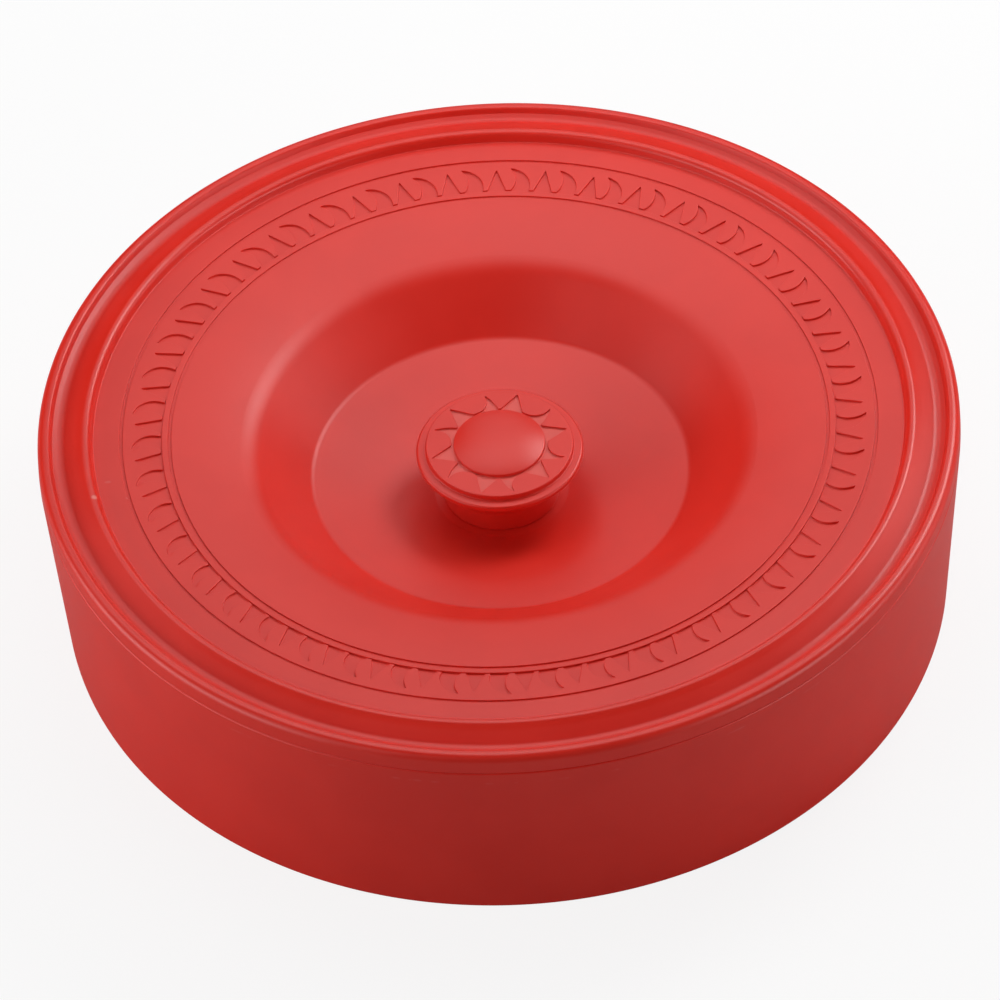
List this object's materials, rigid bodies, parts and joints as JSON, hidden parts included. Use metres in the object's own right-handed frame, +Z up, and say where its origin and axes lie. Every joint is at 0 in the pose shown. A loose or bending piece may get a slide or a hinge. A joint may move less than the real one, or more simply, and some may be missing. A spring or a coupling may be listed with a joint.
{
  "type": "tortilla warmer",
  "caption": "Round covered serving dish of moulded plastic that keeps tortillas warm: a low drafted bowl and a dished lid with a sunk ring of sun rays and a mushroom knob.",
  "frame": {"origin": "Middle of the flat ring that the base stands on.", "axes": "+Z up along the dish's axis of revolution, +X to the right and +Y away from the viewer when the dish is seen from its front."},
  "size_m": [0.2106, 0.2106, 0.0528],
  "materials": {
    "base_plastic": "red moulded polypropylene with a smooth satin surface",
    "lid_plastic": "red moulded polypropylene, satin, with crisp moulded ornament",
    "knob_plastic": "red moulded polypropylene, satin"
  },
  "bodies": {
    "base": {"base": "base_plastic"},
    "lid": {"lid": "lid_plastic"},
    "knob": {"knob": "knob_plastic"}
  },
  "joints": [
    {"name": "lid_lift", "type": "slide", "parent": "base", "child": "lid", "axis": [0, 0, 1], "range_m": [0, 0.12]},
    {"name": "knob_turn", "type": "hinge", "parent": "lid", "child": "knob", "pos_m": [0, 0, 0.0284], "axis": [0, 0, 1], "continuous": true}
  ]
}
